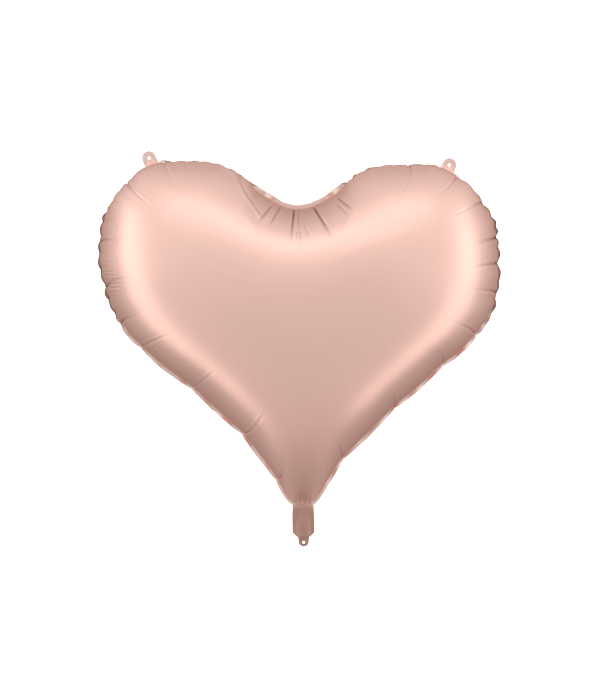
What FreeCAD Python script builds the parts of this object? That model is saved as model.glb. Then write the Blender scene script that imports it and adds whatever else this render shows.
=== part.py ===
"""Heart-shaped foil balloon, inflated, hanging tail down with its front towards -Y.

Frame: millimetres, +Z up, +X to the right as seen from the front. The origin is the centre of the
ribbon hole in the lug at the tail's end. The two foil panels meet at the seam plane, y = 0.
"""
import FreeCAD, Part
import math
import os

from FreeCAD import Vector

# ---- driving dimensions -------------------------------------------------------------------------
NECK_Z = 60.5            # where the heart's tip meets the filling tail
BODY_WIDTH = 637.0       # across both lobes, seam to seam
DEPTH = 270.0            # front to back, over both panels at the middle
SKIN = 1.0               # drawn thickness of a foil panel
FLANGE_WIDTH = 6.5       # heat-sealed rim outside the seam
FLANGE_THICK = 0.8       # drawn thickness of the sealed rim, both foils together
RIM_OVERLAP = 1.0        # how far the sealed rim reaches in between the panels' edges

TAB_RADIUS = 11.5        # round end of a hanging tab
TAB_ROOT_WIDTH = 24.0
TAB_HOLE_RADIUS = 2.5
# Each tab's hole, the middle of its fold line on the sealed rim, and how far that line tilts.
LEFT_TAB = dict(hole=(-240.0, 626.5), fold=(-236.3, 616.0), tilt=19.6)
RIGHT_TAB = dict(hole=(246.0, 607.0), fold=(242.3, 599.3), tilt=-24.3)

PLY = 0.4                # drawn thickness of one foil ply
FILM = 0.25              # drawn thickness of one valve film
SHEET_GAP = 0.02         # air drawn between neighbouring sheets of the tail
FILM_START = SHEET_GAP   # distance of a film's inner face from the seam plane
PLY_START = FILM_START + FILM + SHEET_GAP

TAIL_WIDTH = 36.0
TAIL_WELD = 5.0          # side weld of the tail, each side
TAIL_CORNER = 7.0        # cut corners at the tail's lower end
TAIL_WAIST = 1.2         # how much narrower each side of the tail is at the neck
WAIST_LENGTH = 22.0
MOUTH_Z = 9.0            # free lower edge of the tail, where the straw goes in
MOUTH_RISE = 6.5         # how far the front ply bows off the back ply at the mouth
FOLD_RADIUS = 0.75       # rounded end of the tail, about its fold line
FOLD_GAP = 0.4           # air between a folding piece and what it folds from
NECK_GAP = 1.1           # the same between the tail and the panels' blunt tip
TAIL_FOLD_Z = NECK_Z - FOLD_RADIUS - NECK_GAP
# The front ply's bow: (height above the mouth, share of the full rise).
BOW = [(0.0, 1.0), (15.0, 1.0), (27.0, 0.55), (38.0, 0.14), (45.0, 0.0), (51.0, 0.0)]

LUG_RADIUS = 8.5
LUG_BELOW_HOLE = 7.0
LUG_ROOT_WIDTH = 19.0
LUG_HOLE_RADIUS = 2.2
LUG_FOLD_Z = MOUTH_Z - PLY / 2 - FOLD_GAP

VALVE_WIDTH = 22.0
VALVE_LENGTH = 112.0     # of the two films, above the neck
FILM_ENTRY_Z = MOUTH_Z + 2.0
INNER_FILM_START = 0.05  # distance of the films' facing sides from the seam plane inside the balloon
FLAP_ROOT_Z = NECK_Z + 9.0

# Right half of the seam line, from the neck up to the cleft: (x, height above the neck).
HALF_SEAM = [
    (13.5, 3.0), (35.0, 31.0), (84.0, 99.0), (151.0, 164.5), (224.0, 226.0), (284.0, 283.0),
    (311.0, 341.0), (BODY_WIDTH / 2, 395.0), (313.5, 456.0), (278.0, 517.0), (220.0, 549.0),
    (162.0, 550.0), (110.0, 540.0), (60.0, 504.5), (28.0, 485.5),
]
CLEFT_HEIGHT = 478.5
# The left lobe stands a little higher than the right: this slope sets in above the widest part's foot.
LOBE_SLOPE = 0.031
SLOPE_FOOT = 283.0
SLOPE_FULL = 550.0
# Below the lobes the body sits a little to the right. The shift fades in and out over these heights.
BELLY_SHIFT = 8.0
SHIFT_IN = (65.0, 130.0)
SHIFT_OUT = (300.0, 400.0)
CENTRE_HEIGHT = 330.0    # height above the neck of the point that the panels are drawn around
RIM_SAMPLES = 96         # points of a panel along the seam
RING_SAMPLES = 14        # rings of points from the panel's middle to the seam
RELAX_STEPS = 160
OVER_RELAX = 1.8
OFFSET_SAMPLES = 144


# ---- the seam line ------------------------------------------------------------------------------
def ramp(value, low, high):
    return min(1.0, max(0.0, (value - low) / (high - low)))


def seam_corner(x, height):
    """A seam point in place, with the lobes' slope and the body's shift."""
    drop = LOBE_SLOPE * x * ramp(height, SLOPE_FOOT, SLOPE_FULL)
    shift = BELLY_SHIFT * (ramp(height, *SHIFT_IN) - ramp(height, *SHIFT_OUT))
    return Vector(x + shift, 0, NECK_Z + height - drop)


def seam_line():
    """The closed seam as one smooth curve in the plane y = 0, starting at the bottom of the tip."""
    left_down = [(-x, height) for x, height in reversed(HALF_SEAM)]
    outline = [(0.0, 0.0)] + HALF_SEAM + [(0.0, CLEFT_HEIGHT)] + left_down
    curve = Part.BSplineCurve()
    curve.interpolate(Points=[seam_corner(x, height) for x, height in outline], PeriodicFlag=True)
    return curve


SEAM = seam_line()


def seam_point(share, outward=0.0):
    """The point at this share of the seam's parameter range, moved outward in the seam plane."""
    t = SEAM.FirstParameter + share * (SEAM.LastParameter - SEAM.FirstParameter)
    along = SEAM.tangent(t)[0]
    return SEAM.value(t) + Vector(along.z, 0, -along.x) * outward


def offset_face(outward):
    """A flat face inside the seam line moved outward by this much."""
    curve = Part.BSplineCurve()
    points = [seam_point(i / OFFSET_SAMPLES, outward) for i in range(OFFSET_SAMPLES)]
    curve.interpolate(Points=points, PeriodicFlag=True)
    return Part.Face(Part.Wire(curve.toShape()))


# ---- the two foil panels ------------------------------------------------------------------------
def flat_ring_points(inset):
    """Rings of points from the middle of the heart out to the seam, closer together near the seam."""
    centre = Vector(0, 0, NECK_Z + CENTRE_HEIGHT)
    rims = [seam_point(i / RIM_SAMPLES, -inset) for i in range(RIM_SAMPLES)]
    reaches = [math.sin(math.pi / 2 * j / RING_SAMPLES) for j in range(RING_SAMPLES + 1)]
    return [[centre + (rim - centre) * reach for rim in rims] for reach in reaches]


def puff_depths():
    """How far each ring point of a panel stands off the seam plane.

    The field that solves Laplace = -1 inside the seam is half the squared height of a round tube, so the
    root of twice the field gives round edges everywhere. The middle is drawn in to the balloon's depth."""
    rings = flat_ring_points(0.0)
    middle = (0, 0)
    nodes = [middle] + [(j, i) for j in range(1, RING_SAMPLES) for i in range(RIM_SAMPLES)]
    weights = {node: {} for node in nodes}
    areas = dict.fromkeys(nodes, 0.0)

    def key(j, i):
        return middle if j == 0 else (j, i % RIM_SAMPLES)

    def add_triangle(corners):
        at = [rings[j][i] for j, i in corners]
        for k in range(3):
            p, q, far = corners[k], corners[(k + 1) % 3], at[(k + 2) % 3]
            a, b = at[k] - far, at[(k + 1) % 3] - far
            twice_area = a.cross(b).Length
            if twice_area < 1e-9:
                continue
            share = a.dot(b) / twice_area / 2
            for m, n in ((p, q), (q, p)):
                if m in weights:
                    weights[m][n] = weights[m].get(n, 0.0) + share
                    areas[m] += twice_area / 12

    for j in range(RING_SAMPLES):
        for i in range(RIM_SAMPLES):
            a, b, c, d = key(j, i), key(j, i + 1), key(j + 1, i), key(j + 1, i + 1)
            add_triangle((a, c, d))
            if j:
                add_triangle((a, d, b))
    field = dict.fromkeys(nodes, 1.0)
    rows = [(n, sum(weights[n].values()), areas[n], [(m, w) for m, w in weights[n].items() if m in field])
            for n in nodes]
    for _ in range(RELAX_STEPS):
        for n, total, area, near in rows:
            fresh = (sum(w * field[m] for m, w in near) + area) / total
            field[n] += OVER_RELAX * (fresh - field[n])
    peak = max(field.values())
    flattening = 1 - (DEPTH / 2 - FLANGE_THICK / 2) / math.sqrt(2 * peak)
    print(f"membrane: round depth {2 * math.sqrt(2 * peak):.1f} mm, flattening {flattening:.3f}")
    return {n: math.sqrt(2 * value) * (1 - flattening * value / peak) for n, value in field.items()}


PUFF = puff_depths()


def panel_skin(side, inset):
    """One face of a panel: an inflated half, drawn as rings from its middle out to the seam."""
    shrink = 1 - inset / (DEPTH / 2)
    rows = []
    for j, ring in enumerate(flat_ring_points(inset)):
        row = []
        for i in range(RIM_SAMPLES + 1):
            flat = ring[i % RIM_SAMPLES]
            depth = PUFF.get((j, i % RIM_SAMPLES) if j else (0, 0), 0.0) * shrink
            row.append(Vector(flat.x, side * (FLANGE_THICK / 2 + depth), flat.z))
        rows.append(row)
    surface = Part.BSplineSurface()
    surface.interpolate(rows)
    # The first ring is the middle point itself, so all of its poles are drawn together there.
    for k in range(1, surface.NbVPoles + 1):
        surface.setPole(1, k, rows[0][0])
    return surface.toShape()


def rim_edge(skin):
    """The closed boundary edge of a panel's face, along the seam."""
    return next(e for e in skin.Edges if e.Closed and not e.Degenerated)


def foil_panel(side):
    """A panel as a closed shell: its outer face, its inner face and the narrow edge at the seam."""
    outer, inner = panel_skin(side, 0.0), panel_skin(side, SKIN)
    edge = Part.makeRuledSurface(rim_edge(outer), rim_edge(inner))
    shell = Part.makeShell([outer, inner, edge])
    shell.sewShape()
    solid = Part.Solid(shell)
    if solid.Volume < 0:
        solid.reverse()
    return solid


# ---- pieces that fold about a line --------------------------------------------------------------
def block(x0, x1, y0, y1, z0, z1):
    return Part.makeBox(x1 - x0, y1 - y0, z1 - z0, Vector(x0, y0, z0))


def round_bar(radius, width, y, z):
    """A round bar along X, centred on x = 0."""
    return Part.makeCylinder(radius, width, Vector(-width / 2, y, z), Vector(1, 0, 0))


def slab(face, thick):
    """A flat face in the plane y = 0 made into a plate with that plane in its middle."""
    plate = face.extrude(Vector(0, thick, 0))
    plate.translate(Vector(0, -thick / 2, 0))
    return plate


def placed(shape, tab):
    """Takes a shape drawn with the fold line along X, its middle at the origin, to a tab's own place."""
    x, z = tab["fold"]
    shape = shape.copy()
    shape.rotate(Vector(0, 0, 0), Vector(0, 1, 0), -tab["tilt"])
    shape.translate(Vector(x, 0, z))
    return shape


def hole_over_fold(tab):
    """The hole's place seen from the middle of the fold line: (along the line, away from it)."""
    tilt = math.radians(tab["tilt"])
    dx, dz = tab["hole"][0] - tab["fold"][0], tab["hole"][1] - tab["fold"][1]
    return dx * math.cos(tilt) + dz * math.sin(tilt), dz * math.cos(tilt) - dx * math.sin(tilt)


def hanging_tab(tab):
    """A flat lug with a round end and a hanging hole. Its foot is rounded about the fold line."""
    half, radius = TAB_ROOT_WIDTH / 2, TAB_RADIUS
    along, away = hole_over_fold(tab)
    foot = [Vector(-half, 0, 0), Vector(half, 0, 0)]
    right, top, left = (Vector(along + dx, 0, away + dz)
                        for dx, dz in ((radius, 0), (0, radius), (-radius, 0)))
    outline = Part.Wire([
        Part.LineSegment(*foot).toShape(),
        Part.LineSegment(foot[1], right).toShape(),
        Part.Arc(right, top, left).toShape(),
        Part.LineSegment(left, foot[0]).toShape(),
    ])
    plate = slab(Part.Face(outline), FLANGE_THICK)
    hole = Part.makeCylinder(TAB_HOLE_RADIUS, 4, Vector(along, -2, away), Vector(0, 1, 0))
    round_foot = round_bar(FLANGE_THICK / 2, TAB_ROOT_WIDTH, 0, 0)
    return placed(plate.fuse(round_foot).removeSplitter().cut(hole), tab)


def tab_clearance(tab):
    """What is cut from the sealed rim so that a tab can fold: everything past its straight root."""
    half = TAB_ROOT_WIDTH / 2 + 2
    low = -(FLANGE_THICK / 2 + FOLD_GAP)
    return placed(block(-half, half, -2, 2, low, 40), tab)


def seam_flange():
    """The heat-sealed rim all round the heart, open at the neck for the valve films."""
    rim = slab(offset_face(FLANGE_WIDTH), FLANGE_THICK).cut(slab(offset_face(-RIM_OVERLAP), 4))
    neck = block(-VALVE_WIDTH / 2 - 1, VALVE_WIDTH / 2 + 1, -2, 2, 0, NECK_Z + 12)
    below = block(-TAIL_WIDTH, TAIL_WIDTH, -2, 2, 0, NECK_Z)
    rim = rim.cut(neck).cut(below)
    for tab in (LEFT_TAB, RIGHT_TAB):
        rim = rim.cut(tab_clearance(tab))
    # A tab's cut can leave a splinter outside its ends, which the real rim doesn't have.
    return Part.makeCompound([s for s in rim.Solids if s.Volume > 20])


# ---- the filling tail ---------------------------------------------------------------------------
def rounded_top(piece):
    """Rounds a tail piece's upper end about the tail's fold line, so that it can turn there."""
    under = block(-TAIL_WIDTH, TAIL_WIDTH, -20, 20, -20, TAIL_FOLD_Z)
    return piece.common(under.fuse(round_bar(FOLD_RADIUS, 2 * TAIL_WIDTH, 0, TAIL_FOLD_Z)))


def tail_outline():
    """The tail's flat outline as a thick block to cut its plies with."""
    half = TAIL_WIDTH / 2
    waist, corner = half - TAIL_WAIST, half - TAIL_CORNER
    right = [(waist, NECK_Z), (half, NECK_Z - WAIST_LENGTH), (half, MOUTH_Z + TAIL_CORNER), (corner, MOUTH_Z)]
    points = [Vector(x, 0, z) for x, z in right] + [Vector(-x, 0, z) for x, z in reversed(right)]
    return slab(Part.Face(Part.makePolygon(points + points[:1])), 40)


def bow_line(z, start, rise):
    """The bowed section of the filling channel at height z, its ends this far in front of the seam plane."""
    half = TAIL_WIDTH / 2 - TAIL_WELD
    steps = [k / 4 for k in range(-4, 5)]
    curve = Part.BSplineCurve()
    curve.interpolate(Points=[Vector(half * u, -start - rise * (1 - u * u), z) for u in steps])
    return curve


def bowed_sheet(start, thick):
    """A sheet that bows off the seam plane: open at the mouth and closing towards the neck."""
    sections = []
    for height, share in BOW:
        z, rise = MOUTH_Z + height, MOUTH_RISE * share
        near, far = bow_line(z, start, rise), bow_line(z, start + thick, rise)
        ends = [Part.LineSegment(near.EndPoint, far.EndPoint).toShape(),
                Part.LineSegment(far.StartPoint, near.StartPoint).toShape()]
        sections.append(Part.Wire([near.toShape(), ends[0], far.toShape(), ends[1]]))
    return Part.makeLoft(sections, True, True)


def tail_front_ply():
    """The front ply: two flat side welds and the bowed wall of the channel between them."""
    half, inner = TAIL_WIDTH / 2, TAIL_WIDTH / 2 - TAIL_WELD
    welds = [block(x0, x1, -PLY_START - PLY, PLY_START, MOUTH_Z, NECK_Z)
             for x0, x1 in ((-half, -inner), (inner, half))]
    wall = bowed_sheet(PLY_START, PLY)
    return rounded_top(wall.fuse(welds).common(tail_outline()))


def tail_back_ply():
    """The back ply: a flat sheet. The lug hangs from its lower edge."""
    half = TAIL_WIDTH / 2
    sheet = block(-half, half, PLY_START, PLY_START + PLY, MOUTH_Z, NECK_Z)
    return rounded_top(sheet.common(tail_outline()))


def ribbon_lug():
    """The small lug under the back ply, with the ribbon hole. It folds about its upper edge."""
    centre_z = LUG_RADIUS - LUG_BELOW_HOLE
    half = LUG_ROOT_WIDTH / 2
    disc = Part.makeCylinder(LUG_RADIUS, PLY, Vector(0, -PLY / 2, centre_z), Vector(0, 1, 0))
    below_fold = block(-half, half, -PLY / 2, PLY / 2, -20, LUG_FOLD_Z)
    neck = block(-half, half, -PLY / 2, PLY / 2, centre_z + 2, LUG_FOLD_Z)
    hole = Part.makeCylinder(LUG_HOLE_RADIUS, 4, Vector(0, -2, 0), Vector(0, 1, 0))
    plate = disc.common(below_fold).fuse(neck)
    return plate.fuse(round_bar(PLY / 2, LUG_ROOT_WIDTH, 0, LUG_FOLD_Z)).removeSplitter().cut(hole)


# ---- the valve: two films bonded along their sides ----------------------------------------------
def valve_film_front_entry():
    """The front valve film inside the tail, lining the front ply from the mouth to the neck."""
    half = VALVE_WIDTH / 2
    strip = block(-half, half, -20, 0, FILM_ENTRY_Z, NECK_Z)
    return rounded_top(bowed_sheet(FILM_START, FILM).common(strip))


def valve_film_back_entry():
    """The back valve film inside the tail, lying on the back ply."""
    half = VALVE_WIDTH / 2
    return rounded_top(block(-half, half, FILM_START, FILM_START + FILM, FILM_ENTRY_Z, NECK_Z))


def valve_film_back():
    """The back valve film inside the balloon: flat, from the neck upwards."""
    half, near = VALVE_WIDTH / 2, INNER_FILM_START
    return block(-half, half, near, near + FILM, NECK_Z + FOLD_GAP, NECK_Z + VALVE_LENGTH)


def valve_film_front_flap():
    """The front valve film above the neck: the flap that gas pressure shuts on the back film."""
    half, near = VALVE_WIDTH / 2, INNER_FILM_START
    flap = block(-half, half, -near - FILM, -near, FLAP_ROOT_Z, NECK_Z + VALVE_LENGTH)
    return flap.fuse(round_bar(FILM / 2, VALVE_WIDTH, -near - FILM / 2, FLAP_ROOT_Z)).removeSplitter()


PIECES = {
    "front_panel": lambda: foil_panel(-1),
    "back_panel": lambda: foil_panel(1),
    "seam_flange": seam_flange,
    "hanging_tab_left": lambda: hanging_tab(LEFT_TAB),
    "hanging_tab_right": lambda: hanging_tab(RIGHT_TAB),
    "tail_front_ply": tail_front_ply,
    "tail_back_ply": tail_back_ply,
    "ribbon_lug": ribbon_lug,
    "valve_film_front_entry": valve_film_front_entry,
    "valve_film_back_entry": valve_film_back_entry,
    "valve_film_back": valve_film_back,
    "valve_film_front_flap": valve_film_front_flap,
}

os.makedirs("parts", exist_ok=True)
for name, make in PIECES.items():
    shape = make()
    shape.exportStep(f"parts/{name}.step")
    box = shape.BoundBox
    print(f"{name}: valid {shape.isValid()}, {len(shape.Solids)} solid(s), {shape.Volume:.1f} mm3, "
          f"x {box.XMin:.1f}..{box.XMax:.1f} y {box.YMin:.2f}..{box.YMax:.2f} z {box.ZMin:.1f}..{box.ZMax:.1f}")
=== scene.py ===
"""Heart-shaped foil balloon: looks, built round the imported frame.

Metres, +Z up, the front towards -Y, the origin at the ribbon hole under the tail. Lengths that are
easier to read in millimetres are written as a number times MM.
"""
import bpy
import math
import numpy as np
from mathutils import Matrix, Vector


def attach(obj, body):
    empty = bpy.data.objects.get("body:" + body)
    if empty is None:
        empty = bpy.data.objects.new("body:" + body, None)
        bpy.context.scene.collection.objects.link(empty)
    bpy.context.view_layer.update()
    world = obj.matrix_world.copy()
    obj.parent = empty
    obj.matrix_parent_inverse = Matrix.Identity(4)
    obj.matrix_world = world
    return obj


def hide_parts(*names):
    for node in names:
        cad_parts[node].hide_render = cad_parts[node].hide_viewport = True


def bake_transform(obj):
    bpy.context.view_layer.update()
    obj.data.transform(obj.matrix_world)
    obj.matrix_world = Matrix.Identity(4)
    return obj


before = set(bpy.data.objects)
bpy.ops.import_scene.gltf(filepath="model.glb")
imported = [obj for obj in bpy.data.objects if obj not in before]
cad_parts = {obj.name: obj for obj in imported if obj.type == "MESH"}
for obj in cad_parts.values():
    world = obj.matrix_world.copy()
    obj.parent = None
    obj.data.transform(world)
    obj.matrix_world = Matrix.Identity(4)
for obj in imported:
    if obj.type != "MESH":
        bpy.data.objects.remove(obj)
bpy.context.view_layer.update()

MM = 0.001

# ---- the heart ----------------------------------------------------------------------------------
NECK_Z = 60.5 * MM
HALF_SEAM = [
    (13.5, 3.0), (35.0, 31.0), (84.0, 99.0), (151.0, 164.5), (224.0, 226.0), (284.0, 283.0),
    (311.0, 341.0), (318.5, 395.0), (313.5, 456.0), (278.0, 517.0), (220.0, 549.0),
    (162.0, 550.0), (110.0, 540.0), (60.0, 504.5), (28.0, 485.5),
]
CLEFT_HEIGHT = 478.5
LOBE_SLOPE = 0.031
SLOPE_FOOT = 283.0
SLOPE_FULL = 550.0
BELLY_SHIFT = 8.0
SHIFT_IN = (65.0, 130.0)
SHIFT_OUT = (300.0, 400.0)
CENTRE = np.array([0.0, 390.5]) * MM
HALF_DEPTH = 134.6 * MM
NECK_TAPER = 26 * MM     # the height over which the neck opens into the heart

COLUMNS = 2048
FULL_ROWS = 32           # rows near the seam that keep every column
ROW_STEP = 0.0085
ROW_GROWTH = 1.045
MERGE_AT = [0.0, 0.46, 0.66, 0.80, 0.90, 0.95]   # share of the way in where columns merge in pairs

# The seam's regions. Each pair is the height where it begins and the height over which it fades in.
SIDE_FROM, SIDE_SPAN = 75 * MM, 30 * MM
LOBE_FROM, LOBE_SPAN = 310 * MM, 80 * MM
CLEFT_FROM, CLEFT_SPAN = 450 * MM, 20 * MM
TOP_FROM, TOP_SPAN = 520 * MM, 60 * MM
CLEFT_LEFT, CLEFT_RIGHT, CLEFT_SOFT = -72 * MM, 76 * MM, 24 * MM
CLEFT_MIDDLE = (0, 539)      # (x, z) in millimetres
TAB_REGION, TAB_FADE = 15 * MM, 14 * MM

RIM_WIDTH = 6.5 * MM
RIM_THICK = 0.5 * MM
RIM_STEPS = (-0.12, 0.0, 0.25, 0.5, 0.75, 1.0)   # shares of the rim's width where it has points
TAB_RADIUS = 11.5 * MM
TAB_HALF_ROOT = 12.0 * MM
TAB_HOLE = 2.5 * MM
TAB_THICK = 0.4 * MM
HOLE_RINGS, HOLE_SPOKES = 16, 96
# hole and fold are (x, z) in millimetres, and tilt is in degrees.
LEFT_TAB = dict(node="hanging_tab_left", body="left_tab",
                hole=(-240.0, 626.5), fold=(-236.3, 616.0), tilt=19.6)
RIGHT_TAB = dict(node="hanging_tab_right", body="right_tab",
                 hole=(246.0, 607.0), fold=(242.3, 599.3), tilt=-24.3)

# Where the seam is drawn in, in millimetres (x, z): the front panel's puffs lie between these.
LEFT_TUCKS = [(-43, 103), (-92, 182), (-173, 258), (-250, 329), (-289, 362), (-315, 418), (-320, 493),
              (-270, 583), (-215, 612)]
RIGHT_TUCKS = [(65, 136), (146, 222), (228, 285), (281, 335), (315, 401), (318, 447), (316, 488),
               (294, 540), (252, 577), (178, 607)]
CLEFT_TUCKS = [(-67, 560), (-29, 540), (-6, 538), (24, 539), (65, 555)]
# Where the lobes' outer shoulders are drawn in: (place, by how much in millimetres).
SHOULDERS_IN = [((-280, 584), 6.0), ((276, 574), 2.5)]
# Long creases at the cleft: (start, end, strength, width in millimetres).
CLEFT_CREASES = [
    ((-44, 540), (-67, 510), 0.8, 2.2), ((-29, 539), (-49, 503), 0.7, 2.0),
    ((-6, 540), (-12.5, 482), 1.3, 2.2), ((24, 540), (58, 479), 1.4, 2.4),
    ((65, 552), (90, 528), 0.8, 2.4), ((64, 540), (83, 520), 0.6, 2.0), ((10.5, 506), (18, 483), 0.35, 2.0),
]
# Soft ridges: (points, height in millimetres, width in millimetres).
SOFT_RIDGES = [
    ([(-165, 611), (-130, 605), (-103, 589), (-91, 564), (-76, 546), (-62, 525)], 1.2, 2.6),
    ([(73, 460), (115, 478), (164, 493)], 0.22, 9.0),
    ([(-119, 435), (-96, 427)], 0.14, 5.0), ([(-80, 420), (-61, 415)], 0.12, 5.0),
    ([(102, 428), (134, 416)], 0.12, 6.0),
]
BACK_TUCK_SHIFT = 9 * MM     # the back's tucks are the front's, mirrored and moved along the seam
TUCK_DEPTH = 3.4 * MM
TUCK_WIDTH = 1.6 * MM
PUFF_HEIGHT = 3.4 * MM       # at most, between two tucks
PUCKER_LENGTH = 24 * MM      # along the seam
CREASE_DEPTH = 1.7 * MM      # of a crease with strength 1
SHOULDER_SWELL = 9.5 * MM    # how much fuller the lobes' tops are than the plain dome
DENT_HEIGHT = 0.35 * MM      # of the broad unevenness all over a panel
RIPPLE_PATCHES = 40

# ---- the tail -----------------------------------------------------------------------------------
TAIL_HALF = 18 * MM
TAIL_WELD = 5 * MM
TAIL_CORNER = 7 * MM
MOUTH_Z = 9 * MM
MOUTH_RISE = 3.4 * MM
TAIL_TOP = 68 * MM
LUG_RADIUS = 8.5 * MM
LUG_CENTRE_Z = 1.5 * MM
LUG_HOLE = 2.2 * MM
TAIL_COLUMNS, TAIL_ROWS = 49, 72
PLY_THICK, PLY_LEVEL = 0.3 * MM, 0.55 * MM       # the level is the distance from the seam plane
FILM_THICK, FILM_LEVEL = 0.12 * MM, 0.2 * MM
FILM_HALF = 11 * MM
FILM_LOW = MOUTH_Z + 2 * MM
LUG_THICK = 0.3 * MM

# ---- the studio ---------------------------------------------------------------------------------
CAMERA_AT = (-0.8 * MM, -4.0, 311.6 * MM)
CAMERA_LENS = 127.0
CAMERA_LEAN = 0.955      # degrees
LIGHT_AIM = (0, 0, 0.33)
STAGE_SIZE = 13.0
FLOOR_Z = -2.4


# ---- small helpers ------------------------------------------------------------------------------
def smooth(x):
    """0 below 0, 1 above 1 and an S curve between."""
    x = np.clip(x, 0.0, 1.0)
    return x * x * (3 - 2 * x)


def step_up(x, start, span):
    """0 below start, 1 above start + span and an S curve between."""
    return smooth((x - start) / span)


def bell(x, width, power=2):
    """1 at 0, falling off on both sides over width."""
    return np.exp(-np.abs(x / width) ** power)


def between(x, low, high, soft):
    """1 between low and high, fading to 0 over soft on either side."""
    return smooth((x - low) / soft + 0.5) * smooth((high - x) / soft + 0.5)


def uneven(s, seed, wavelength):
    """A smooth random line along s, about -1 to 1."""
    rng = np.random.default_rng(seed)
    total = np.zeros_like(s)
    for _ in range(7):
        cycles = max(1, round(seam_length / (wavelength * rng.uniform(0.7, 1.6))))
        total += np.sin(2 * np.pi * cycles * s / seam_length + rng.uniform(0, 2 * np.pi))
    return total / 2.6


def uneven_plane(x, z, seed, wavelength):
    """A smooth random field over the panel, about -1 to 1."""
    rng = np.random.default_rng(seed)
    total = np.zeros_like(x)
    for _ in range(9):
        turn = rng.uniform(0, np.pi)
        k = 2 * np.pi / (wavelength * rng.uniform(0.7, 1.7))
        total += np.sin(k * (x * np.cos(turn) + z * np.sin(turn)) + rng.uniform(0, 2 * np.pi))
    return total / 3.0


# ---- the seam line ------------------------------------------------------------------------------
def ramp(value, low, high):
    """0 below low, 1 above high and a straight line between."""
    return min(1.0, max(0.0, (value - low) / (high - low)))


def seam_corner(x, height):
    """A point of the seam: the right lobe lies a little lower and the body a little to the right."""
    drop = LOBE_SLOPE * x * ramp(height, SLOPE_FOOT, SLOPE_FULL)
    shift = BELLY_SHIFT * (ramp(height, *SHIFT_IN) - ramp(height, *SHIFT_OUT))
    return (x + shift) * MM, NECK_Z + (height - drop) * MM


def closed_curve(points, samples):
    """A smooth closed curve through the points, sampled evenly along its length."""
    n = len(points)
    gap = np.linalg.norm(np.roll(points, -1, 0) - points, axis=1)
    system = np.zeros((n, n))
    slopes = (np.roll(points, -1, 0) - points) / gap[:, None]
    for i in range(n):
        system[i, i - 1] += gap[i - 1]
        system[i, i] += 2 * (gap[i - 1] + gap[i])
        system[i, (i + 1) % n] += gap[i]
    bend = np.linalg.solve(system, 6 * (slopes - np.roll(slopes, 1, 0)))
    knots = np.concatenate([[0.0], np.cumsum(gap)])
    t = np.linspace(0, knots[-1], samples * 6, endpoint=False)
    k = np.searchsorted(knots, t, side="right") - 1
    after = (k + 1) % n
    h, u = gap[k][:, None], (t - knots[k])[:, None]
    v = h - u
    dense = ((bend[k] * v ** 3 + bend[after] * u ** 3) / (6 * h)
             + (points[k] / h - bend[k] * h / 6) * v + (points[after] / h - bend[after] * h / 6) * u)
    steps = np.linalg.norm(np.roll(dense, -1, 0) - dense, axis=1)
    run = np.concatenate([[0.0], np.cumsum(steps)])
    even = np.linspace(0, run[-1], samples, endpoint=False)
    closed = np.vstack([dense, dense[:1]])
    return np.stack([np.interp(even, run, closed[:, c]) for c in (0, 1)], 1), run[-1]


left_down = [(-x, height) for x, height in reversed(HALF_SEAM)]
corners = [(0.0, 0.0)] + HALF_SEAM + [(0.0, CLEFT_HEIGHT)] + left_down
seam_points, seam_length = closed_curve(np.array([seam_corner(x, h) for x, h in corners]), 4000)


def on_seam(s):
    """The seam's point and inward normal at the arc length s."""
    n = len(seam_points)
    place = np.asarray(s) / seam_length * n
    low = np.floor(place).astype(int)
    part = (place - low)[..., None]
    point = seam_points[low % n] * (1 - part) + seam_points[(low + 1) % n] * part
    tangents = np.roll(seam_points, -1, 0) - np.roll(seam_points, 1, 0)
    along = tangents[low % n] * (1 - part) + tangents[(low + 1) % n] * part
    along /= np.linalg.norm(along, axis=-1, keepdims=True)
    return point, np.stack([-along[..., 1], along[..., 0]], -1)


def nearest_on_seam(x, z):
    """Arc length of the seam's point nearest to a place in millimetres."""
    away = np.linalg.norm(seam_points - np.array([x, z]) * MM, axis=1)
    return np.argmin(away) / len(seam_points) * seam_length


def seam_gap(s, t):
    """Signed distance along the seam from t to s, the short way round."""
    return (s - t + seam_length / 2) % seam_length - seam_length / 2


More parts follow.
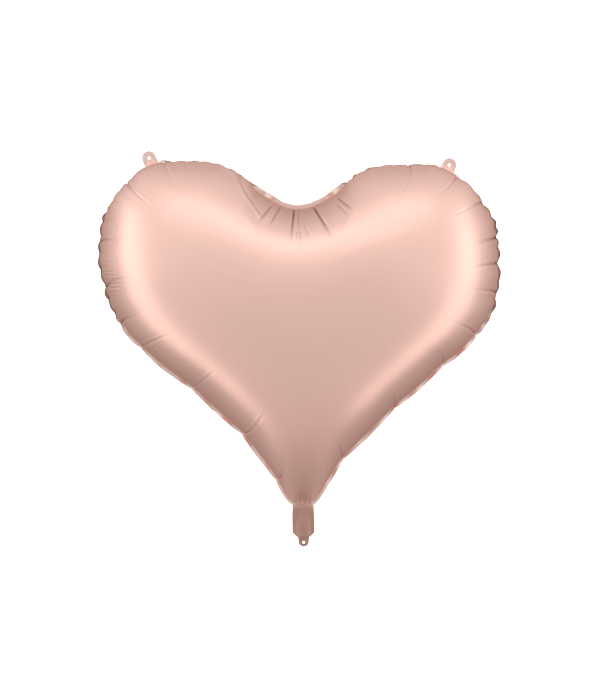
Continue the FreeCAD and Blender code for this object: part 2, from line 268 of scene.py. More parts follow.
# ---- the inflated shape -------------------------------------------------------------------------
class Membrane:
    """The field that solves Laplace = -1 inside the seam, as a sum of point sources outside it.

    Its root gives a panel round edges everywhere, as gas pressure does."""

    def __init__(self, posts=260, stand_off=0.03):
        wall, _ = on_seam(np.arange(4 * posts) / (4 * posts) * seam_length)
        at, inward = on_seam(np.arange(posts) / posts * seam_length)
        self.sources = at - inward * stand_off
        self.strengths = np.zeros(posts + 1)
        rows = np.hstack([np.log(self._reach(wall)[2]) / 2, np.ones((len(wall), 1))])
        square = ((wall - CENTRE) ** 2).sum(1) / 4
        self.strengths = np.linalg.lstsq(rows, square, rcond=1e-12)[0]
        self.peak = self._peak()
        self.flattening = 1 - HALF_DEPTH / math.sqrt(2 * self.peak)

    def _reach(self, points):
        """From each source to each point: x, z and the square of the distance."""
        dx = points[:, None, 0] - self.sources[None, :, 0]
        dz = points[:, None, 1] - self.sources[None, :, 1]
        return dx, dz, dx * dx + dz * dz

    def _peak(self):
        """The field's highest value, which lies on the middle line between 0.25 and 0.5 m up."""
        column = np.stack([np.zeros(200), np.linspace(0.25, 0.5, 200)], 1)
        return self.field(column)[0].max()

    def field(self, points):
        """The field and its gradient at these points."""
        values, slopes = [], []
        for part in np.array_split(points, max(1, len(points) // 20000)):
            dx, dz, square = self._reach(part)
            away = part - CENTRE
            values.append(np.log(square) @ self.strengths[:-1] / 2 + self.strengths[-1]
                          - (away ** 2).sum(1) / 4)
            pull = np.stack([(dx / square) @ self.strengths[:-1], (dz / square) @ self.strengths[:-1]], 1)
            slopes.append(pull - away / 2)
        return np.concatenate(values), np.concatenate(slopes)

    def surface(self, points):
        """Depth off the seam plane and the outward normal (x, depth, z) of the plain dome."""
        value, slope = self.field(points)
        value = np.maximum(value, 0.0)
        share = self.flattening * value / self.peak
        taper = 1 - np.exp(-np.maximum(points[:, 1] - NECK_Z + 0.5 * MM, 0) / NECK_TAPER)
        depth = np.sqrt(2 * value) * (1 - share) * taper
        fall = 2 * slope * ((1 - share) * (1 - 3 * share) * taper ** 2)[:, None]
        normal = np.stack([-fall[:, 0], 2 * depth, -fall[:, 1]], 1)
        return depth, normal / np.maximum(np.linalg.norm(normal, axis=1, keepdims=True), 1e-9)


membrane = Membrane()


# ---- columns and rows of the panels -------------------------------------------------------------
all_tucks = LEFT_TUCKS + RIGHT_TUCKS + CLEFT_TUCKS
tuck_sites = {
    "front": [nearest_on_seam(x, z) for x, z in all_tucks],
    "back": [nearest_on_seam(-x, z) + BACK_TUCK_SHIFT for x, z in all_tucks],
}
tuck_sites = {side: np.sort(np.array(sites) % seam_length) for side, sites in tuck_sites.items()}


def column_places():
    """Arc lengths of the columns: closer together at the cleft and the tucks."""
    s = np.linspace(0, seam_length, 20001)
    density = np.ones_like(s)
    from_cleft = seam_gap(s, nearest_on_seam(*CLEFT_MIDDLE))
    density += 1.3 * between(from_cleft, -85 * MM, 85 * MM, 30 * MM)
    for site in tuck_sites["front"]:
        density += 1.6 * bell(seam_gap(s, site), 6 * MM)
    run = np.concatenate([[0], np.cumsum((density[1:] + density[:-1]) / 2)])
    return np.interp(np.arange(COLUMNS) / COLUMNS * run[-1], run, s)


def row_places():
    """Shares of the way in from the seam (0) towards the centre (1), closer together near the seam."""
    rows, step = [0.0], ROW_STEP
    while rows[-1] + step < 0.985:
        rows.append(rows[-1] + step)
        if len(rows) > FULL_ROWS:
            step *= ROW_GROWTH
    return np.array(rows)


columns = column_places()
rows = row_places()
levels = np.array([0 if j <= FULL_ROWS else sum(share > edge for edge in MERGE_AT)
                   for j, share in enumerate(rows)])


def flat_grid():
    """Every row and column's place in the seam plane, on curves that leave the seam squarely."""
    rim, inward = on_seam(columns)
    faces_axis = rim[:, 0] * inward[:, 0] < 0
    to_axis = np.where(faces_axis, (np.abs(rim[:, 0]) + 1e-7) / (np.abs(inward[:, 0]) + 1e-5), 1.0)
    handle = np.minimum(60 * MM, 0.45 * to_axis)[:, None]
    first = rim + inward * handle
    second = CENTRE + (rim - CENTRE) * 0.35
    b = (1 - np.cos(rows * np.pi / 2))[:, None, None]
    a = 1 - b
    return a ** 3 * rim + 3 * b * a ** 2 * first + 3 * b * b * a * second + b ** 3 * CENTRE


flat = flat_grid()
dome_depth, dome_normal = membrane.surface(flat.reshape(-1, 2))
dome_depth = dome_depth.reshape(flat.shape[:2])
dome_depth[0] = 0.0
dome_normal = dome_normal.reshape(flat.shape[:2] + (3,))
base = np.stack([flat[..., 0], dome_depth, flat[..., 1]], -1)
inward_run = np.concatenate([np.zeros((1, COLUMNS)),
                             np.cumsum(np.linalg.norm(np.diff(base, axis=0), axis=2), axis=0)])

# ---- what happens along the seam ----------------------------------------------------------------
rim_point, rim_inward = on_seam(columns)
rim_x, rim_z = rim_point[:, 0], rim_point[:, 1]


def tab_nearness(tab):
    """1 next to a hanging tab, 0 away from it."""
    fold = nearest_on_seam(*tab["fold"])
    return 1 - step_up(np.abs(seam_gap(columns, fold)), TAB_REGION, TAB_FADE)


near_tab = tab_nearness(LEFT_TAB) + tab_nearness(RIGHT_TAB)
above_cleft_foot = step_up(rim_z, CLEFT_FROM, CLEFT_SPAN)
above_lobe_foot = step_up(rim_z, LOBE_FROM, LOBE_SPAN)
in_cleft = between(rim_x, CLEFT_LEFT, CLEFT_RIGHT, CLEFT_SOFT) * above_cleft_foot
on_lobe = above_lobe_foot * (1 - in_cleft)
on_side = (1 - above_lobe_foot) * step_up(rim_z, SIDE_FROM, SIDE_SPAN)
on_top = step_up(rim_z, TOP_FROM, TOP_SPAN) * (1 - in_cleft)


def pucker_phase():
    """An angle that makes one turn per pucker of the seam. Their lengths vary by about a fifth."""
    pace = 1 / (PUCKER_LENGTH * (1 + 0.2 * uneven(columns, seed=5, wavelength=0.14)))
    step = np.diff(np.append(columns, seam_length))
    turns = np.concatenate([[0], np.cumsum(pace * step)])
    return 2 * np.pi * turns[:-1] * round(turns[-1]) / turns[-1]


phase = pucker_phase()
seam_shift_y = ((3.2 * MM + 2.0 * MM * np.sin(phase)) * on_lobe + 0.7 * MM * np.sin(phase * 0.5) * on_side)
seam_shift_y *= 1 - near_tab


def puff_share(side):
    """Place between two neighbouring tucks, 0 to 1, at each column, and the distance between them."""
    sites = tuck_sites[side]
    after = np.searchsorted(sites, columns) % len(sites)
    start, end = sites[after - 1], sites[after]
    width = (end - start) % seam_length
    return ((columns - start) % seam_length) / width, width


def tuck_line(side, run, width):
    """Valleys that run inwards from the tucks, up to 1 deep, with a low shoulder on either side."""
    total = np.zeros_like(run)
    rng = np.random.default_rng(11 if side == "front" else 12)
    for site in tuck_sites[side]:
        lean = rng.uniform(-0.12, 0.12)
        height = on_seam(site)[0][1]
        reach = rng.uniform(45, 80) * MM * (0.45 + 0.55 * step_up(height, 80 * MM, 100 * MM))
        across = np.abs(seam_gap(columns[None, :], site) + lean * run)
        valley = bell(across, width, 1.3) - 0.3 * bell(across - 3 * width, 1.8 * width)
        total += rng.uniform(0.6, 1.0) * valley * bell(run, reach)
    return total


def seam_inset():
    """How far the seam is drawn in at its tucks and puckers."""
    share, _ = puff_share("front")
    arc = np.sin(np.pi * share) ** 0.7
    depth = (2.6 * on_lobe + 1.8 * on_side + 0.8 * in_cleft) * MM
    puckers = (1.7 * on_lobe + 0.2 * on_side) * MM * (1 - np.abs(np.sin(phase / 2)))
    widest = between(rim_z, 0.36, 0.53, 0.06)
    swell = ((1.2 + 3.0 * widest) * on_lobe + 0.8 * on_side) * MM
    total = (depth * (1 - arc) + puckers - swell) * (1 - 0.7 * near_tab)
    for place, drawn_in in SHOULDERS_IN:
        total += drawn_in * MM * bell(seam_gap(columns, nearest_on_seam(*place)), 32 * MM)
    return total


inset = seam_inset()


def ripples(run, rng):
    """Patches of fine parallel ripples that run inward from the seam."""
    total = np.zeros_like(run)
    for _ in range(RIPPLE_PATCHES):
        site, half = rng.uniform(0, seam_length), rng.uniform(8, 24) * MM
        wave, high = rng.uniform(4.5, 7.5) * MM, rng.uniform(0.2, 0.42) * MM
        start, length = rng.uniform(8, 34) * MM, rng.uniform(26, 50) * MM
        across = seam_gap(columns[None, :], site) + rng.uniform(-0.12, 0.12) * run
        patch = bell(across, half, 4) * between(run, start, start + length, 12 * MM)
        total += high * patch * np.sin(2 * np.pi * across / wave)
    return total * (1 - in_cleft)[None, :]


def line_distance(x, z, a, b):
    """Signed distance to the line from a to b, the share of the way along it, and the distance past its
    nearer end. a and b are in millimetres, and the rest in metres."""
    a, b = np.array(a) * MM, np.array(b) * MM
    along = (b - a) / np.linalg.norm(b - a)
    dx, dz = x - a[0], z - a[1]
    share = (dx * along[0] + dz * along[1]) / np.linalg.norm(b - a)
    across = dx * along[1] - dz * along[0]
    beyond = np.maximum(np.maximum(-share, share - 1), 0) * np.linalg.norm(b - a)
    return across, share, beyond


def cleft_creases(x, z, mirror):
    """Sharp creases with a low shoulder on one side, fading away from the seam."""
    total = np.zeros_like(x)
    for start, end, strength, width in CLEFT_CREASES:
        across, share, beyond = line_distance(x * mirror, z, start, end)
        fade = (1 - smooth((share - 0.35) / 0.65)) * bell(beyond, 3 * MM)
        narrow = bell(across, 0.6 * width * MM, 1.25)
        shoulder = 0.3 * bell(across + 1.9 * width * MM, 1.7 * width * MM)
        total += CREASE_DEPTH * strength * fade * (shoulder - narrow)
    return total


def soft_ridges(x, z, mirror):
    """Low ridges along bent lines, each with a shallow valley on its right."""
    total = np.zeros_like(x)
    for points, height, width in SOFT_RIDGES:
        nearest, side = np.full_like(x, 1.0), np.zeros_like(x)
        for a, b in zip(points, points[1:]):
            across, _, beyond = line_distance(x * mirror, z, a, b)
            away = np.hypot(across, beyond)
            side = np.where(away < nearest, across, side)
            nearest = np.minimum(nearest, away)
        past = np.sqrt(np.maximum(nearest ** 2 - side ** 2, 0))
        ridge = bell(side, width * MM) - 0.5 * bell(side + 1.7 * width * MM, width * MM)
        total += height * MM * ridge * bell(past, 1.5 * width * MM)
    return total


def neck_pleats(x, z):
    """Pleats that run up from the neck where the heart is gathered into the tail."""
    up = np.maximum(z - NECK_Z, 0)
    fade = np.exp(-up / (15 * MM)) * smooth(up / (3 * MM))
    return 0.3 * MM * np.cos(2 * np.pi * x / (7.5 * MM) + 0.6) * fade


def swelling(side):
    """How far each place of a panel stands off the plain dome, along its normal."""
    rng = np.random.default_rng(3 if side == "front" else 4)
    mirror = 1 if side == "front" else -1
    run, x, z = inward_run, base[..., 0], base[..., 2]
    share, width = puff_share(side)
    high = np.minimum(PUFF_HEIGHT, width * 0.05) * (on_lobe + 0.75 * on_side + 0.3 * in_cleft)
    puff = high * (np.sin(np.pi * share) ** 0.75 - 0.35)
    rise = smooth(run / (22 * MM)) * bell(run, 62 * MM)
    total = -inset[None, :] * bell(run, 20 * MM, 1.2) + puff[None, :] * rise
    tucks = tuck_line(side, run, TUCK_WIDTH) * smooth(run / (2 * MM))
    total -= TUCK_DEPTH * tucks * (1 - 0.6 * in_cleft)[None, :]
    puckers = (1.0 * on_lobe + 2.0 * on_top + 0.2 * on_side + 0.2 * in_cleft) * MM
    puckers *= (np.abs(np.sin(phase / 2 + 0.3)) - 0.64) * (1 - 0.6 * near_tab)
    total += puckers[None, :] * smooth(run / (3 * MM)) * bell(run, 34 * MM, 1.5)
    shoulder = step_up(run, 10 * MM, 34 * MM) * bell(run, 80 * MM)
    total += SHOULDER_SWELL * on_top[None, :] * shoulder
    total += ripples(run, rng)
    total += cleft_creases(x, z, mirror) + soft_ridges(x, z, mirror)
    total += neck_pleats(x, z)
    total += DENT_HEIGHT * uneven_plane(x, z, seed=21 * mirror + 50, wavelength=0.13) * smooth(run / 0.05)
    return total


def painted_crease_shade(side):
    """Painted shade for the foil's colour: up to 0.9 in the bottom of the sharp creases, 0 away from them.
    """
    mirror = 1 if side == "front" else -1
    marks = 0.9 * np.maximum(tuck_line(side, inward_run, 1.3 * MM), 0) * (1 - in_cleft)[None, :]
    marks *= bell(inward_run, 48 * MM)
    for start, end, strength, width in CLEFT_CREASES:
        across, share, beyond = line_distance(base[..., 0] * mirror, base[..., 2], start, end)
        line = bell(across, 0.55 * width * MM) * bell(beyond, 3 * MM)
        marks += 0.75 * strength * line * (1 - smooth((share - 0.5) / 0.5))
    return np.clip(marks, 0, 0.9)


# ---- meshes -------------------------------------------------------------------------------------
def add_mesh(name, vertices, faces, material):
    """A smooth shaded object in the scene."""
    mesh = bpy.data.meshes.new(name)
    mesh.from_pydata(vertices.tolist(), [], faces)
    mesh.materials.append(material)
    mesh.polygons.foreach_set("use_smooth", [True] * len(mesh.polygons))
    mesh.validate()
    obj = bpy.data.objects.new(name, mesh)
    bpy.context.scene.collection.objects.link(obj)
    return obj


def mark_mesh(obj, name, values):
    """Stores a value per point, for the mesh's material."""
    layer = obj.data.attributes.new(name, "FLOAT", "POINT")
    layer.data.foreach_set("value", np.asarray(values, dtype=np.float32))


def grid_faces(count_u, count_v, closed=False):
    """Quads over a grid of points stored row by row."""
    last = count_u if closed else count_u - 1
    return [(v * count_u + u, v * count_u + (u + 1) % count_u,
             (v + 1) * count_u + (u + 1) % count_u, (v + 1) * count_u + u)
            for v in range(count_v - 1) for u in range(last)]


def thicken(points, faces, thick):
    """Turns an open sheet of quads into a thin closed one, with the given surface in its middle."""
    normals = np.zeros_like(points)
    for face in faces:
        a, b, c, d = points[list(face)]
        normals[list(face)] += np.cross(c - a, d - b)
    normals /= np.maximum(np.linalg.norm(normals, axis=1, keepdims=True), 1e-12)
    n = len(points)
    both = np.vstack([points + normals * thick / 2, points - normals * thick / 2])
    edges = dict.fromkeys((a, b) for face in faces for a, b in zip(face, face[1:] + face[:1]))
    rim = [(b, a, a + n, b + n) for a, b in edges if (b, a) not in edges]
    return both, list(faces) + [tuple(i + n for i in reversed(face)) for face in faces] + rim


def panel(side, material):
    """One foil panel: rows of points from the seam to the centre, with fewer columns further in."""
    sign = -1 if side == "front" else 1
    shape = base + dome_normal * swelling(side)[..., None]
    shape[..., 1] *= sign
    shape[..., 1] += seam_shift_y * bell(inward_run, 15 * MM, 1.5)
    # painted shade in the bottoms of the creases, kept per point for the foil's colour
    creased = painted_crease_shade(side)
    index, points, marks = {}, [], []
    for j in range(len(rows)):
        for i in range(0, COLUMNS, 2 ** levels[j]):
            index[j, i] = len(points)
            points.append(shape[j, i])
            marks.append(creased[j, i])
    faces = []
    for j in range(len(rows) - 1):
        step, wide = 2 ** levels[j], 2 ** levels[j + 1]
        for i in range(0, COLUMNS, wide):
            after = (i + wide) % COLUMNS
            if step == wide:
                faces.append((index[j, i], index[j, after], index[j + 1, after], index[j + 1, i]))
            else:
                mid = i + step
                faces.append((index[j, i], index[j, mid], index[j + 1, i]))
                faces.append((index[j, mid], index[j + 1, after], index[j + 1, i]))
                faces.append((index[j, mid], index[j, after], index[j + 1, after]))
    wide = 2 ** levels[-1]
    ring = [index[len(rows) - 1, i] for i in range(0, COLUMNS, wide)]
    points.append(np.mean([points[k] for k in ring], axis=0) + [0, sign * 0.05 * MM, 0])
    faces += [(a, b, len(points) - 1) for a, b in zip(ring, ring[1:] + ring[:1])]
    if side == "back":
        faces = [face[::-1] for face in faces]
    obj = add_mesh(f"foil_{side}", np.array(points), faces, material)
    mark_mesh(obj, "creased", marks + [0.0])
    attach(obj, "envelope")
    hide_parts(f"{side}_panel")
    return obj


def rim_reach():
    """The sealed rim's width along the seam. It stays clear of the tabs' fold lines."""
    share, _ = puff_share("front")
    leaf = 0.55 + 0.45 * np.sin(np.pi * share) ** 0.6
    elsewhere = 1 - on_lobe - in_cleft - on_side
    width = RIM_WIDTH * (on_lobe + in_cleft * 1.2 + on_side * leaf + elsewhere * 0.7)
    width *= 1 + 0.06 * uneven(columns, seed=31, wavelength=0.05)
    outward = -rim_inward
    for tab in (LEFT_TAB, RIGHT_TAB):
        tilt = math.radians(tab["tilt"])
        fold, up = np.array(tab["fold"]) * MM, np.array([-math.sin(tilt), math.cos(tilt)])
        along = (rim_point - fold) @ np.array([math.cos(tilt), math.sin(tilt)])
        room = ((fold - rim_point) @ up + inset * (outward @ up)) / np.maximum(outward @ up, 0.3) - 0.5 * MM
        under_tab = np.abs(along) < TAB_HALF_ROOT + 3 * MM
        width = np.where(under_tab, np.minimum(width, np.maximum(room, 1 * MM)), width)
    return width


def sealed_rim(material):
    """The heat-sealed rim: a thin strip that ruffles backwards on the lobes and lies flat elsewhere."""
    beside_neck = (np.abs(rim_x) <= 11 * MM) & (rim_z <= 0.3)
    kept = np.nonzero(~beside_neck)[0]
    lobe_turn = np.radians(58 + 8 * np.sin(phase + 0.9) + 8 * uneven(columns, seed=33, wavelength=0.05))
    side_turn = np.radians(4 + 16 * np.sin(phase * 0.5 + 2)
                           + 10 * uneven(columns, seed=34, wavelength=0.04))
    ends = between(np.abs(rim_x), 45 * MM, 95 * MM, 20 * MM) * above_cleft_foot
    crumple = np.radians(20) * uneven(columns, seed=35, wavelength=0.022) * ends
    turn = (lobe_turn * on_lobe + side_turn * on_side) * (1 - near_tab) + crumple
    width = rim_reach()
    outward = np.stack([-rim_inward[:, 0], np.zeros(COLUMNS), -rim_inward[:, 1]], 1)
    start = np.stack([rim_x, np.zeros(COLUMNS), rim_z], 1) - outward * inset[:, None]
    start[:, 1] += seam_shift_y
    points = []
    for share in RIM_STEPS:
        lean = turn * (0.35 + 0.65 * max(share, 0))
        away = outward * np.cos(lean)[:, None]
        away[:, 1] = np.sin(lean)
        points.append((start + away * (width * share)[:, None])[kept])
    grid = np.array(points).reshape(-1, 3)
    closed, faces = thicken(grid, grid_faces(len(kept), len(RIM_STEPS)), RIM_THICK)
    obj = add_mesh("sealed_rim", closed, faces, material)
    # painted shade: the rim's colour darkens along the lobes, away from the tabs
    mark_mesh(obj, "gathered", np.tile((on_lobe * (1 - near_tab))[kept], 2 * len(RIM_STEPS)))
    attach(obj, "envelope")
    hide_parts("seam_flange")
    return obj


def rings_about_hole(hole, centre, outline, rings, spokes):
    """A flat sheet with a round hole, as rings of points from the hole out to an outline.

    outline gives the outline's point at each angle."""
    angles = np.arange(spokes) / spokes * 2 * np.pi
    inner = centre + hole * np.stack([np.cos(angles), np.sin(angles)], 1)
    outer = np.array([outline(angle) for angle in angles])
    shares = np.linspace(0, 1, rings)[:, None, None] ** 0.9
    return inner * (1 - shares) + outer * shares


def ray_to(polygon, centre, angle):
    """Where a ray from the centre leaves a convex polygon."""
    way = np.array([math.cos(angle), math.sin(angle)])
    best = None
    for a, b in zip(polygon, np.roll(polygon, -1, 0)):
        edge = b - a
        cross = way[0] * edge[1] - way[1] * edge[0]
        if abs(cross) < 1e-12:
            continue
        to = a - centre
        along = (to[0] * edge[1] - to[1] * edge[0]) / cross
        part = (to[0] * way[1] - to[1] * way[0]) / cross
        if along > 0 and -1e-9 <= part <= 1 + 1e-9 and (best is None or along < best):
            best = along
    return centre + way * best


def hanging_tab(tab, material, seed):
    """A flat foil tab with a round end and a hole, creased at its foot, which lies on the sealed rim."""
    tilt = math.radians(tab["tilt"])
    fold = np.array(tab["fold"]) * MM
    along, up = np.array([math.cos(tilt), math.sin(tilt)]), np.array([-math.sin(tilt), math.cos(tilt)])
    to_hole = np.array(tab["hole"]) * MM - fold
    hole = np.array([to_hole @ along, to_hole @ up])
    arc = [hole + TAB_RADIUS * np.array([math.cos(a), math.sin(a)]) for a in np.linspace(0, math.pi, 25)]
    foot = [(-TAB_HALF_ROOT * 0.8, -5 * MM), (TAB_HALF_ROOT * 0.8, -5 * MM), (TAB_HALF_ROOT, -1 * MM)]
    polygon = np.array(foot + arc + [(-TAB_HALF_ROOT, -1 * MM)])
    sheet = rings_about_hole(TAB_HOLE, hole, lambda angle: ray_to(polygon, hole, angle),
                             HOLE_RINGS, HOLE_SPOKES).reshape(-1, 2)
    a, b = sheet[:, 0], sheet[:, 1]
    rng = np.random.default_rng(seed)
    wave = np.zeros_like(a)
    for _ in range(5):
        slant, wavelength = rng.uniform(-0.4, 0.4), rng.uniform(4, 9) * MM
        wave += np.sin(2 * np.pi * (a + slant * b) / wavelength + rng.uniform(0, 6))
    at_foot = np.exp(-np.maximum(b - 1 * MM, 0) / (6 * MM)) * step_up(b, -5 * MM, 3 * MM)
    creases = 0.32 * MM * wave * at_foot
    cup = 0.9 * MM * step_up(b, 4 * MM, 20 * MM) * (1 - (a / TAB_RADIUS) ** 2)
    place = fold + a[:, None] * along + b[:, None] * up
    points = np.stack([place[:, 0], creases - cup - 0.45 * MM, place[:, 1]], 1)
    closed, faces = thicken(points, grid_faces(HOLE_SPOKES, HOLE_RINGS, closed=True), TAB_THICK)
    obj = add_mesh(f"tab_{tab['body']}", closed, faces, material)
    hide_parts(tab["node"])
    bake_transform(obj)
    return obj


# ---- the tail -----------------------------------------------------------------------------------
def tail_half_width(z):
    """Half the tail's width: a cut corner at the mouth, straight sides and a slight waist."""
    corner = np.clip((z - MOUTH_Z) / TAIL_CORNER, 0, 1)
    waist = 0.8 * MM * step_up(z, 40 * MM, 20 * MM)
    return TAIL_HALF - TAIL_CORNER * (1 - corner) - waist


def tail_bow(x, z):
    """How far the front ply bows off the back ply at this place."""
    share = 1 - step_up(z, 22 * MM, 32 * MM)
    inner = TAIL_HALF - TAIL_WELD
    return MOUTH_RISE * share * np.maximum(1 - (x / inner) ** 2, 0) ** 1.3


def neck_depth(x, z):
    """The heart's own depth behind the tail's upper end, where the plies lie on it."""
    depth, _ = membrane.surface(np.stack([x, z], 1))
    inside = membrane.field(np.stack([x, z], 1))[0] > 0
    return np.where(inside & (z > NECK_Z), depth, 0.0)


def tail_sheet(name, node, material, level, bowed, half, low, thick):
    """One sheet of the tail, from the height low up onto the heart's tip, at most half to either side.

    level is its distance from the seam plane, negative in front."""
    across, up = np.linspace(-1, 1, TAIL_COLUMNS), np.linspace(low, TAIL_TOP, TAIL_ROWS)
    u, z = np.meshgrid(across, up)
    x = u * np.minimum(tail_half_width(z), half)
    side = -1 if level < 0 else 1
    hug = neck_depth(x.ravel(), z.ravel()).reshape(x.shape)
    under = step_up(z, 60 * MM, 6 * MM)
    y = level * (1 - under) + side * (hug - 0.5 * MM * under)
    near_neck = step_up(z, 34 * MM, 22 * MM) * (1 - under)
    pleat = 0.42 * MM * np.sin(2 * np.pi * x / (8.2 * MM) + 0.7) * near_neck
    edge = np.maximum(np.abs(x) - (TAIL_HALF - TAIL_WELD), 0) / TAIL_WELD
    curl = 1.0 * MM * edge * np.sin(z / (8.5 * MM) + np.sign(x) * 0.9)
    y = y + pleat + curl
    if bowed:
        y = y - tail_bow(x, z) * (1 + 0.1 * np.sin(z / (5 * MM)))
    points = np.stack([x, y, z], -1).reshape(-1, 3)
    closed, faces = thicken(points, grid_faces(TAIL_COLUMNS, TAIL_ROWS), thick)
    obj = add_mesh(name, closed, faces, material)
    mark_mesh(obj, "near_heart", np.tile(0.3 * step_up(points[:, 2], 52 * MM, 12 * MM), 2))
    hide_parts(node)
    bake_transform(obj)
    return obj


def ribbon_lug(material):
    """The small round lug with the ribbon hole, hanging from the back ply's lower edge."""
    top, half = 13 * MM, 9.2 * MM
    angles = np.linspace(math.pi + 0.35, 2 * math.pi - 0.35, 22)
    arc = [(LUG_RADIUS * math.cos(a), LUG_CENTRE_Z + LUG_RADIUS * math.sin(a)) for a in angles]
    polygon = np.array(arc + [(half, 7 * MM), (half, top), (-half, top), (-half, 7 * MM)])
    hole = np.zeros(2)
    rings, spokes = 12, 80
    sheet = rings_about_hole(LUG_HOLE, hole, lambda angle: ray_to(polygon, hole, angle),
                             rings, spokes).reshape(-1, 2)
    x, z = sheet[:, 0], sheet[:, 1]
    y = 0.45 * MM + 0.35 * MM * np.sin(x / (2.1 * MM)) * step_up(z, -2 * MM, 8 * MM)
    points = np.stack([x, y, z], 1)
    closed, faces = thicken(points, grid_faces(spokes, rings, closed=True), LUG_THICK)
    obj = add_mesh("ribbon_lug_foil", closed, faces, material)
    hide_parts("ribbon_lug")
    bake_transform(obj)
    return obj


# ---- materials ----------------------------------------------------------------------------------
def new_material(name):
    """A new node material with its nodes, links and main shader."""
    material = bpy.data.materials.new(name)
    material.use_nodes = True
    nodes = material.node_tree.nodes
    return material, nodes, material.node_tree.links, nodes["Principled BSDF"]


def foil_material(name, colour, tint, rough, fine, mark=None, mark_colour=None):
    """Satin rose gold metallised film. tint is its colour at glancing angles and fine the strength of its
    grain. Where the mesh carries the value called mark, the colour turns to mark_colour."""
    material, nodes, links, shader = new_material(name)
    shader.inputs["Metallic"].default_value = 1.0
    shader.inputs["Specular Tint"].default_value = (*tint, 1)
    place = nodes.new("ShaderNodeTexCoord")
    cloud = nodes.new("ShaderNodeTexNoise")
    cloud.inputs["Scale"].default_value = 5.0
    cloud.inputs["Detail"].default_value = 2.0
    links.new(place.outputs["Object"], cloud.inputs["Vector"])
    shade = nodes.new("ShaderNodeMapRange")
    shade.inputs["To Min"].default_value = rough - 0.02
    shade.inputs["To Max"].default_value = rough + 0.02
    links.new(cloud.outputs["Fac"], shade.inputs["Value"])
    links.new(shade.outputs["Result"], shader.inputs["Roughness"])
    tone = nodes.new("ShaderNodeMixRGB")
    tone.inputs["Color1"].default_value = (*colour, 1)
    tone.inputs["Color2"].default_value = (*[c * 0.97 for c in colour], 1)
    links.new(cloud.outputs["Fac"], tone.inputs["Fac"])
    finished = tone.outputs["Color"]
    if mark:
        value = nodes.new("ShaderNodeAttribute")
        value.attribute_name = mark
        marked = nodes.new("ShaderNodeMixRGB")
        marked.inputs["Color2"].default_value = (*mark_colour, 1)
        links.new(finished, marked.inputs["Color1"])
        links.new(value.outputs["Fac"], marked.inputs["Fac"])
        finished = marked.outputs["Color"]
    links.new(finished, shader.inputs["Base Color"])
    grain = nodes.new("ShaderNodeTexNoise")
    grain.inputs["Scale"].default_value = 900.0
    links.new(place.outputs["Object"], grain.inputs["Vector"])
    bump = nodes.new("ShaderNodeBump")
    bump.inputs["Strength"].default_value = fine
    bump.inputs["Distance"].default_value = 0.00004
    links.new(grain.outputs["Fac"], bump.inputs["Height"])
    links.new(bump.outputs["Normal"], shader.inputs["Normal"])
    return material


def film_material():
    """Clear polyethylene of the valve."""
    material, nodes, links, shader = new_material("valve_film")
    shader.inputs["Transmission Weight"].default_value = 0.85
    shader.inputs["IOR"].default_value = 1.5
    cloud = nodes.new("ShaderNodeTexNoise")
    cloud.inputs["Scale"].default_value = 60.0
    tone = nodes.new("ShaderNodeMixRGB")
    tone.inputs["Color1"].default_value = (0.90, 0.91, 0.92, 1)
    tone.inputs["Color2"].default_value = (0.82, 0.83, 0.85, 1)
    links.new(cloud.outputs["Fac"], tone.inputs["Fac"])
    links.new(tone.outputs["Color"], shader.inputs["Base Color"])
    shader.inputs["Roughness"].default_value = 0.22
    return material


ROSE = (0.90, 0.585, 0.505)
EDGE_TINT = (0.95, 0.70, 0.63)
# painted shade in the bottoms of the panels' creases
CREASE_SHADE_COLOUR = (0.30, 0.17, 0.13)
RIM_COLOUR = (0.82, 0.59, 0.52)
# painted shade on the sealed rim where it is gathered along the lobes
GATHERED_RIM_SHADE = (0.24, 0.135, 0.10)
TAB_COLOUR = (0.92, 0.63, 0.55)
TAIL_COLOUR = (0.45, 0.265, 0.21)
foil = foil_material("satin_rose_gold", ROSE, EDGE_TINT, rough=0.34, fine=0.5,
                     mark="creased", mark_colour=CREASE_SHADE_COLOUR)
rim_foil = foil_material("sealed_rose_gold", RIM_COLOUR, EDGE_TINT, rough=0.38, fine=0.8,
                         mark="gathered", mark_colour=GATHERED_RIM_SHADE)
tab_foil = foil_material("tab_rose_gold", TAB_COLOUR, EDGE_TINT, rough=0.36, fine=0.8)
tail_foil = foil_material("tail_rose_gold", TAIL_COLOUR, EDGE_TINT, rough=0.42, fine=0.8,
                          mark="near_heart", mark_colour=ROSE)
film = film_material()

# ---- build --------------------------------------------------------------------------------------
panel("front", foil)
panel("back", foil)
sealed_rim(rim_foil)
hanging_tab(LEFT_TAB, tab_foil, seed=41)
hanging_tab(RIGHT_TAB, tab_foil, seed=43)
tail_sheet("tail_front", "tail_front_ply", tail_foil,
           level=-PLY_LEVEL, bowed=True, half=TAIL_HALF, low=MOUTH_Z, thick=PLY_THICK)
tail_sheet("tail_back", "tail_back_ply", tail_foil,
           level=PLY_LEVEL, bowed=False, half=TAIL_HALF, low=MOUTH_Z, thick=PLY_THICK)
tail_sheet("valve_entry_front", "valve_film_front_entry", film,
           level=-FILM_LEVEL, bowed=True, half=FILM_HALF, low=FILM_LOW, thick=FILM_THICK)
tail_sheet("valve_entry_back", "valve_film_back_entry", film,
           level=FILM_LEVEL, bowed=False, half=FILM_HALF, low=FILM_LOW, thick=FILM_THICK)
ribbon_lug(tail_foil)
for node in ("valve_film_back", "valve_film_front_flap"):
    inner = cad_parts[node]
    inner.data.materials.clear()
    inner.data.materials.append(film)


# ---- studio -------------------------------------------------------------------------------------
def plain_material(name, colour, glow):
    """A matt material that also glows a little by itself."""
    material, nodes, links, shader = new_material(name)
    shader.inputs["Base Color"].default_value = (*colour, 1)
    shader.inputs["Roughness"].default_value = 0.9
    shader.inputs["Emission Color"].default_value = (*colour, 1)
    shader.inputs["Emission Strength"].default_value = glow
    return material


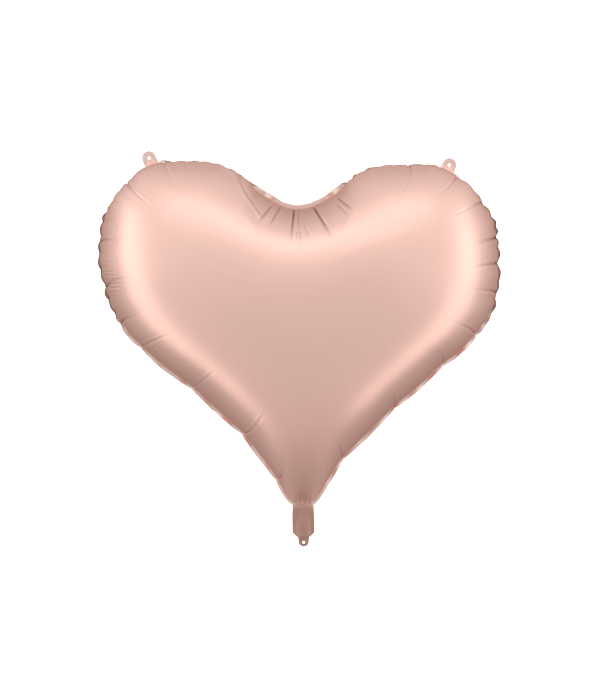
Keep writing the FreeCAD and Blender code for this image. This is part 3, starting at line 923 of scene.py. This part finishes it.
def pale_floor():
    """A plain floor far below, which the foil doesn't mirror."""
    size, z = STAGE_SIZE, FLOOR_Z
    corners = np.array([(-size, -size, z), (size, -size, z), (size, size, z), (-size, size, z)])
    pale = plain_material("pale_floor", (0.9, 0.9, 0.9), glow=0.12)
    floor = add_mesh("floor", corners, [(0, 1, 2, 3)], pale)
    floor.visible_glossy = False
    return floor


def white_surround():
    """A white sky far round the object. Only the camera sees it, so it casts no light."""
    count_u, count_v, radius = 64, 32, STAGE_SIZE
    turn, rise = np.meshgrid(np.linspace(0, 2 * np.pi, count_u, endpoint=False),
                             np.linspace(-np.pi / 2, np.pi / 2, count_v))
    points = radius * np.stack([np.cos(rise) * np.cos(turn), np.cos(rise) * np.sin(turn), np.sin(rise)], -1)
    faces = grid_faces(count_u, count_v, closed=True)
    white = plain_material("white_surround", (1, 1, 1), glow=1.0)
    sky = add_mesh("surround", points.reshape(-1, 3), faces, white)
    for ray in ("visible_diffuse", "visible_glossy", "visible_transmission", "visible_shadow"):
        setattr(sky, ray, False)
    return sky


def soft_light(name, place, aim, width, height, power):
    """A soft rectangular light that the camera doesn't see, with its power in watts."""
    light = bpy.data.lights.new(name, "AREA")
    light.shape = "RECTANGLE"
    light.size, light.size_y = width, height
    light.energy = power
    obj = bpy.data.objects.new(name, light)
    obj.location = place
    obj.rotation_euler = (Vector(aim) - Vector(place)).to_track_quat("-Z", "Y").to_euler()
    obj.visible_camera = False
    bpy.context.scene.collection.objects.link(obj)
    return obj


def direction_ramp(nodes, links, component, levels):
    """A colour that depends on one component of the direction, from -1 to 1."""
    spread = nodes.new("ShaderNodeMapRange")
    spread.inputs["From Min"].default_value = -1.0
    links.new(component, spread.inputs["Value"])
    colours = nodes.new("ShaderNodeValToRGB")
    ends = colours.color_ramp.elements
    ends[0].color, ends[1].color = (*levels[0][1], 1), (*levels[-1][1], 1)
    for place, colour in levels[1:-1]:
        ends.new((place + 1) / 2).color = (*colour, 1)
    links.new(spread.outputs["Result"], colours.inputs["Fac"])
    return colours.outputs["Color"]


def grey_world():
    """Soft light from all round: broad in front and above, darker and warmer below, dimmer behind."""
    front_to_back = [(-1, 0.80), (-0.9, 1.0), (-0.5, 1.1), (-0.1, 1.04),
                     (0.31, 0.80), (0.67, 0.64), (1, 0.5)]
    low_to_high = [(-1, (0.48, 0.43, 0.41)), (-0.8, (0.64, 0.60, 0.59)), (-0.6, (0.70, 0.68, 0.68)),
                   (-0.41, (0.74, 0.74, 0.74)), (-0.16, (0.81, 0.81, 0.81)), (0, (0.96, 0.96, 0.96)),
                   (0.4, (1, 1, 1)), (0.75, (0.98, 0.98, 0.98)), (1, (0.80, 0.80, 0.80))]
    world = bpy.data.worlds.new("studio")
    world.use_nodes = True
    nodes, links = world.node_tree.nodes, world.node_tree.links
    place = nodes.new("ShaderNodeTexCoord")
    split = nodes.new("ShaderNodeSeparateXYZ")
    links.new(place.outputs["Generated"], split.inputs["Vector"])
    depth = direction_ramp(nodes, links, split.outputs["Y"], [(y, (v, v, v)) for y, v in front_to_back])
    height = direction_ramp(nodes, links, split.outputs["Z"], low_to_high)
    both = nodes.new("ShaderNodeMixRGB")
    both.blend_type = "MULTIPLY"
    both.inputs["Fac"].default_value = 1.0
    links.new(depth, both.inputs["Color1"])
    links.new(height, both.inputs["Color2"])
    links.new(both.outputs["Color"], nodes["Background"].inputs["Color"])
    bpy.context.scene.world = world


def photo_camera():
    """Straight on, from four metres, with the heart leaning a degree to the left in the picture."""
    data = bpy.data.cameras.new("camera")
    data.sensor_width, data.lens = 36.0, CAMERA_LENS
    camera = bpy.data.objects.new("camera", data)
    lean = math.radians(CAMERA_LEAN)
    turn = Matrix(((math.cos(lean), math.sin(lean), 0), (0, 0, -1), (-math.sin(lean), math.cos(lean), 0)))
    camera.matrix_world = Matrix.Translation(CAMERA_AT) @ turn.to_4x4()
    bpy.context.scene.collection.objects.link(camera)
    bpy.context.scene.camera = camera


pale_floor()
white_surround()
soft_light("left_box", (-2.9, -1.1, -0.2), LIGHT_AIM, width=1.7, height=5.2, power=17)
soft_light("right_box", (2.9, -1.1, -0.2), LIGHT_AIM, width=1.7, height=5.2, power=17)
soft_light("top_box", (0, -2.2, 2.63), LIGHT_AIM, width=3.0, height=1.2, power=5.5)
grey_world()
photo_camera()
bpy.context.scene.view_settings.view_transform = "Standard"
